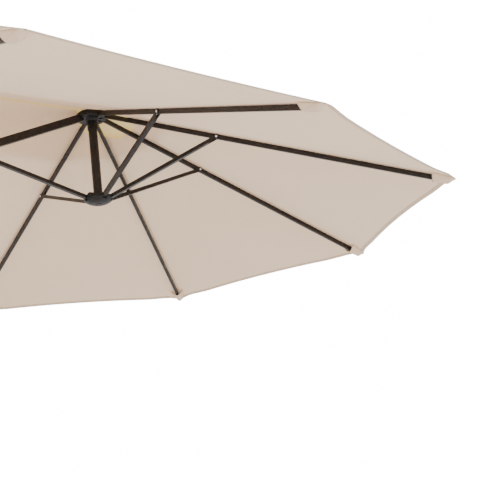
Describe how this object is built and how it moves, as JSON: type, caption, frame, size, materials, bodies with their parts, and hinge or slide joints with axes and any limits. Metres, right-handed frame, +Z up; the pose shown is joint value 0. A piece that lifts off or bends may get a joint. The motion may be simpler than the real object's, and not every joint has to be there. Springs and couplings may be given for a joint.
{
  "type": "cantilever parasol",
  "caption": "Oblong canopy on a folding twin-head ridge frame, hung from a bent arm on a side mast with a weighted cross base and a crank.",
  "frame": {"origin": "on the ground under the middle of the base, on the mast's axis", "axes": "+Z up; +X along the canopy's ridge; the canopy hangs on the -Y side of the mast"},
  "size_m": [4.58, 3.59, 2.6165],
  "materials": {
    "frame_paint": "satin",
    "frame_aluminium": "satin",
    "hub_plastic": "satin",
    "pin_steel": "satin",
    "spigot_steel": "satin",
    "grip_plastic": "satin",
    "canopy_cloth": "matte",
    "vent_cloth": "matte",
    "weight_plastic": "satin"
  },
  "bodies": {
    "root": {"cross_bar_long": "frame_paint", "cross_bar_halves": "frame_paint", "anchor_feet": "frame_paint", "mast_flange": "frame_paint", "base_weights": "weight_plastic", "mast": "frame_paint", "arm": "frame_paint", "arm_spigot": "spigot_steel", "arm_collar": "hub_plastic", "arm_end_clamp": "hub_plastic", "crank_housing": "hub_plastic", "centre_post": "frame_paint", "centre_hub": "hub_plastic", "rib_pivot_pins": "pin_steel", "beam_hub": "hub_plastic", "ridge_beams": "frame_paint", "beam_braces": "frame_paint", "head_hub_right": "hub_plastic", "head_hub_left": "hub_plastic", "head_post_right": "frame_paint", "head_post_left": "frame_paint", "vent_cap": "vent_cloth"},
    "rib_centre_near": {"rib_centre_near": "frame_aluminium", "canopy_near_panel": "canopy_cloth"},
    "strut_centre_near": {"strut_centre_near": "frame_aluminium"},
    "centre_runner": {"centre_runner": "hub_plastic"},
    "rib_centre_far": {"rib_centre_far": "frame_aluminium", "canopy_far_panel": "canopy_cloth"},
    "strut_centre_far": {"strut_centre_far": "frame_aluminium"},
    "rib_right_far": {"rib_right_far": "frame_aluminium"},
    "strut_right_far": {"strut_right_far": "frame_aluminium"},
    "rib_right_far_corner": {"rib_right_far_corner": "frame_aluminium", "canopy_right_far_corner": "canopy_cloth"},
    "strut_right_far_corner": {"strut_right_far_corner": "frame_aluminium"},
    "rib_right_end": {"rib_right_end": "frame_aluminium", "canopy_right_end": "canopy_cloth"},
    "strut_right_end": {"strut_right_end": "frame_aluminium"},
    "rib_right_near_corner": {"rib_right_near_corner": "frame_aluminium", "canopy_right_near_corner": "canopy_cloth"},
    "strut_right_near_corner": {"strut_right_near_corner": "frame_aluminium"},
    "rib_right_near": {"rib_right_near": "frame_aluminium"},
    "strut_right_near": {"strut_right_near": "frame_aluminium"},
    "dish_right": {"dish_right": "hub_plastic"},
    "rib_left_far": {"rib_left_far": "frame_aluminium"},
    "strut_left_far": {"strut_left_far": "frame_aluminium"},
    "rib_left_far_corner": {"rib_left_far_corner": "frame_aluminium", "canopy_left_far_corner": "canopy_cloth"},
    "strut_left_far_corner": {"strut_left_far_corner": "frame_aluminium"},
    "rib_left_end": {"rib_left_end": "frame_aluminium", "canopy_left_end": "canopy_cloth"},
    "strut_left_end": {"strut_left_end": "frame_aluminium"},
    "rib_left_near_corner": {"rib_left_near_corner": "frame_aluminium", "canopy_left_near_corner": "canopy_cloth"},
    "strut_left_near_corner": {"strut_left_near_corner": "frame_aluminium"},
    "rib_left_near": {"rib_left_near": "frame_aluminium"},
    "strut_left_near": {"strut_left_near": "frame_aluminium"},
    "dish_left": {"dish_left": "hub_plastic"},
    "crank": {"crank_handle": "pin_steel", "winch_drum": "hub_plastic"},
    "crank_knob": {"crank_knob": "grip_plastic"}
  },
  "joints": [
    {"name": "canopy_fold", "type": "hinge", "parent": "root", "child": "rib_centre_near", "pos_m": [0, -1.692, 2.4], "axis": [1, 0, 0], "range_deg": [0, 57], "deforming": ["canopy_near_panel"]},
    {"name": "strut_centre_near_swing", "type": "hinge", "parent": "rib_centre_near", "child": "strut_centre_near", "pos_m": [0, -2.3132, 2.18002], "axis": [1, 0, 0], "range_deg": [-114, 0]},
    {"name": "rib_centre_far_fold", "type": "hinge", "parent": "root", "child": "rib_centre_far", "pos_m": [0, -1.608, 2.4], "axis": [-1, 0, 0], "range_deg": [0, 57], "deforming": ["canopy_far_panel"]},
    {"name": "strut_centre_far_swing", "type": "hinge", "parent": "rib_centre_far", "child": "strut_centre_far", "pos_m": [0, -0.9868, 2.18002], "axis": [-1, 0, 0], "range_deg": [-114, 0]},
    {"name": "rib_right_far_fold", "type": "hinge", "parent": "root", "child": "rib_right_far", "pos_m": [0.94, -1.608, 2.4], "axis": [-1, 0, 0], "range_deg": [0, 57]},
    {"name": "strut_right_far_swing", "type": "hinge", "parent": "rib_right_far", "child": "strut_right_far", "pos_m": [0.94, -1.16175, 2.2287], "axis": [-1, 0, 0], "range_deg": [-114, 0]},
    {"name": "rib_right_far_corner_fold", "type": "hinge", "parent": "root", "child": "rib_right_far_corner", "pos_m": [0.9697, -1.6203, 2.4], "axis": [-0.7071, 0.7071, 0], "range_deg": [0, 57], "deforming": ["canopy_right_far_corner"]},
    {"name": "strut_right_far_corner_swing", "type": "hinge", "parent": "rib_right_far_corner", "child": "strut_right_far_corner", "pos_m": [1.28525, -1.30475, 2.2287], "axis": [-0.7071, 0.7071, 0], "range_deg": [-114, 0]},
    {"name": "rib_right_end_fold", "type": "hinge", "parent": "root", "child": "rib_right_end", "pos_m": [0.982, -1.65, 2.4], "axis": [0, 1, 0], "range_deg": [0, 57], "deforming": ["canopy_right_end"]},
    {"name": "strut_right_end_swing", "type": "hinge", "parent": "rib_right_end", "child": "strut_right_end", "pos_m": [1.42825, -1.65, 2.2287], "axis": [0, 1, 0], "range_deg": [-114, 0]},
    {"name": "rib_right_near_corner_fold", "type": "hinge", "parent": "root", "child": "rib_right_near_corner", "pos_m": [0.9697, -1.6797, 2.4], "axis": [0.7071, 0.7071, 0], "range_deg": [0, 57], "deforming": ["canopy_right_near_corner"]},
    {"name": "strut_right_near_corner_swing", "type": "hinge", "parent": "rib_right_near_corner", "child": "strut_right_near_corner", "pos_m": [1.28525, -1.99525, 2.2287], "axis": [0.7071, 0.7071, 0], "range_deg": [-114, 0]},
    {"name": "rib_right_near_fold", "type": "hinge", "parent": "root", "child": "rib_right_near", "pos_m": [0.94, -1.692, 2.4], "axis": [1, 0, 0], "range_deg": [0, 57]},
    {"name": "strut_right_near_swing", "type": "hinge", "parent": "rib_right_near", "child": "strut_right_near", "pos_m": [0.94, -2.13825, 2.2287], "axis": [1, 0, 0], "range_deg": [-114, 0]},
    {"name": "rib_left_far_fold", "type": "hinge", "parent": "root", "child": "rib_left_far", "pos_m": [-0.94, -1.608, 2.4], "axis": [-1, 0, 0], "range_deg": [0, 57]},
    {"name": "strut_left_far_swing", "type": "hinge", "parent": "rib_left_far", "child": "strut_left_far", "pos_m": [-0.94, -1.16175, 2.2287], "axis": [-1, 0, 0], "range_deg": [-114, 0]},
    {"name": "rib_left_far_corner_fold", "type": "hinge", "parent": "root", "child": "rib_left_far_corner", "pos_m": [-0.9697, -1.6203, 2.4], "axis": [-0.7071, -0.7071, 0], "range_deg": [0, 57], "deforming": ["canopy_left_far_corner"]},
    {"name": "strut_left_far_corner_swing", "type": "hinge", "parent": "rib_left_far_corner", "child": "strut_left_far_corner", "pos_m": [-1.28525, -1.30475, 2.2287], "axis": [-0.7071, -0.7071, 0], "range_deg": [-114, 0]},
    {"name": "rib_left_end_fold", "type": "hinge", "parent": "root", "child": "rib_left_end", "pos_m": [-0.982, -1.65, 2.4], "axis": [0, -1, 0], "range_deg": [0, 57], "deforming": ["canopy_left_end"]},
    {"name": "strut_left_end_swing", "type": "hinge", "parent": "rib_left_end", "child": "strut_left_end", "pos_m": [-1.42825, -1.65, 2.2287], "axis": [0, -1, 0], "range_deg": [-114, 0]},
    {"name": "rib_left_near_corner_fold", "type": "hinge", "parent": "root", "child": "rib_left_near_corner", "pos_m": [-0.9697, -1.6797, 2.4], "axis": [0.7071, -0.7071, 0], "range_deg": [0, 57], "deforming": ["canopy_left_near_corner"]},
    {"name": "strut_left_near_corner_swing", "type": "hinge", "parent": "rib_left_near_corner", "child": "strut_left_near_corner", "pos_m": [-1.28525, -1.99525, 2.2287], "axis": [0.7071, -0.7071, 0], "range_deg": [-114, 0]},
    {"name": "rib_left_near_fold", "type": "hinge", "parent": "root", "child": "rib_left_near", "pos_m": [-0.94, -1.692, 2.4], "axis": [1, 0, 0], "range_deg": [0, 57]},
    {"name": "strut_left_near_swing", "type": "hinge", "parent": "rib_left_near", "child": "strut_left_near", "pos_m": [-0.94, -2.13825, 2.2287], "axis": [1, 0, 0], "range_deg": [-114, 0]},
    {"name": "runner_level", "type": "hinge", "parent": "strut_centre_near", "child": "centre_runner", "pos_m": [0, -1.692, 1.96004], "axis": [1, 0, 0], "range_deg": [0, 57]},
    {"name": "dish_right_level", "type": "hinge", "parent": "strut_right_near", "child": "dish_right", "pos_m": [0.94, -1.692, 2.0574], "axis": [1, 0, 0], "range_deg": [0, 57]},
    {"name": "dish_left_level", "type": "hinge", "parent": "strut_left_near", "child": "dish_left", "pos_m": [-0.94, -1.692, 2.0574], "axis": [1, 0, 0], "range_deg": [0, 57]},
    {"name": "crank_turn", "type": "hinge", "parent": "root", "child": "crank", "pos_m": [0.042, 0.062, 1.25], "axis": [1, 0, 0], "range_deg": [0, 2451]},
    {"name": "crank_knob_spin", "type": "hinge", "parent": "crank", "child": "crank_knob", "pos_m": [0.1, 0.062, 1.13], "axis": [1, 0, 0], "continuous": true}
  ],
  "couplings": [
    {"joint": "strut_centre_near_swing", "follows": "canopy_fold", "ratio": -2},
    {"joint": "rib_centre_far_fold", "follows": "canopy_fold", "ratio": 1},
    {"joint": "strut_centre_far_swing", "follows": "canopy_fold", "ratio": -2},
    {"joint": "rib_right_far_fold", "follows": "canopy_fold", "ratio": 1},
    {"joint": "strut_right_far_swing", "follows": "canopy_fold", "ratio": -2},
    {"joint": "rib_right_far_corner_fold", "follows": "canopy_fold", "ratio": 1},
    {"joint": "strut_right_far_corner_swing", "follows": "canopy_fold", "ratio": -2},
    {"joint": "rib_right_end_fold", "follows": "canopy_fold", "ratio": 1},
    {"joint": "strut_right_end_swing", "follows": "canopy_fold", "ratio": -2},
    {"joint": "rib_right_near_corner_fold", "follows": "canopy_fold", "ratio": 1},
    {"joint": "strut_right_near_corner_swing", "follows": "canopy_fold", "ratio": -2},
    {"joint": "rib_right_near_fold", "follows": "canopy_fold", "ratio": 1},
    {"joint": "strut_right_near_swing", "follows": "canopy_fold", "ratio": -2},
    {"joint": "rib_left_far_fold", "follows": "canopy_fold", "ratio": 1},
    {"joint": "strut_left_far_swing", "follows": "canopy_fold", "ratio": -2},
    {"joint": "rib_left_far_corner_fold", "follows": "canopy_fold", "ratio": 1},
    {"joint": "strut_left_far_corner_swing", "follows": "canopy_fold", "ratio": -2},
    {"joint": "rib_left_end_fold", "follows": "canopy_fold", "ratio": 1},
    {"joint": "strut_left_end_swing", "follows": "canopy_fold", "ratio": -2},
    {"joint": "rib_left_near_corner_fold", "follows": "canopy_fold", "ratio": 1},
    {"joint": "strut_left_near_corner_swing", "follows": "canopy_fold", "ratio": -2},
    {"joint": "rib_left_near_fold", "follows": "canopy_fold", "ratio": 1},
    {"joint": "strut_left_near_swing", "follows": "canopy_fold", "ratio": -2},
    {"joint": "runner_level", "follows": "canopy_fold", "ratio": 1},
    {"joint": "dish_right_level", "follows": "canopy_fold", "ratio": 1},
    {"joint": "dish_left_level", "follows": "canopy_fold", "ratio": 1},
    {"joint": "crank_turn", "follows": "canopy_fold", "ratio": 43}
  ]
}
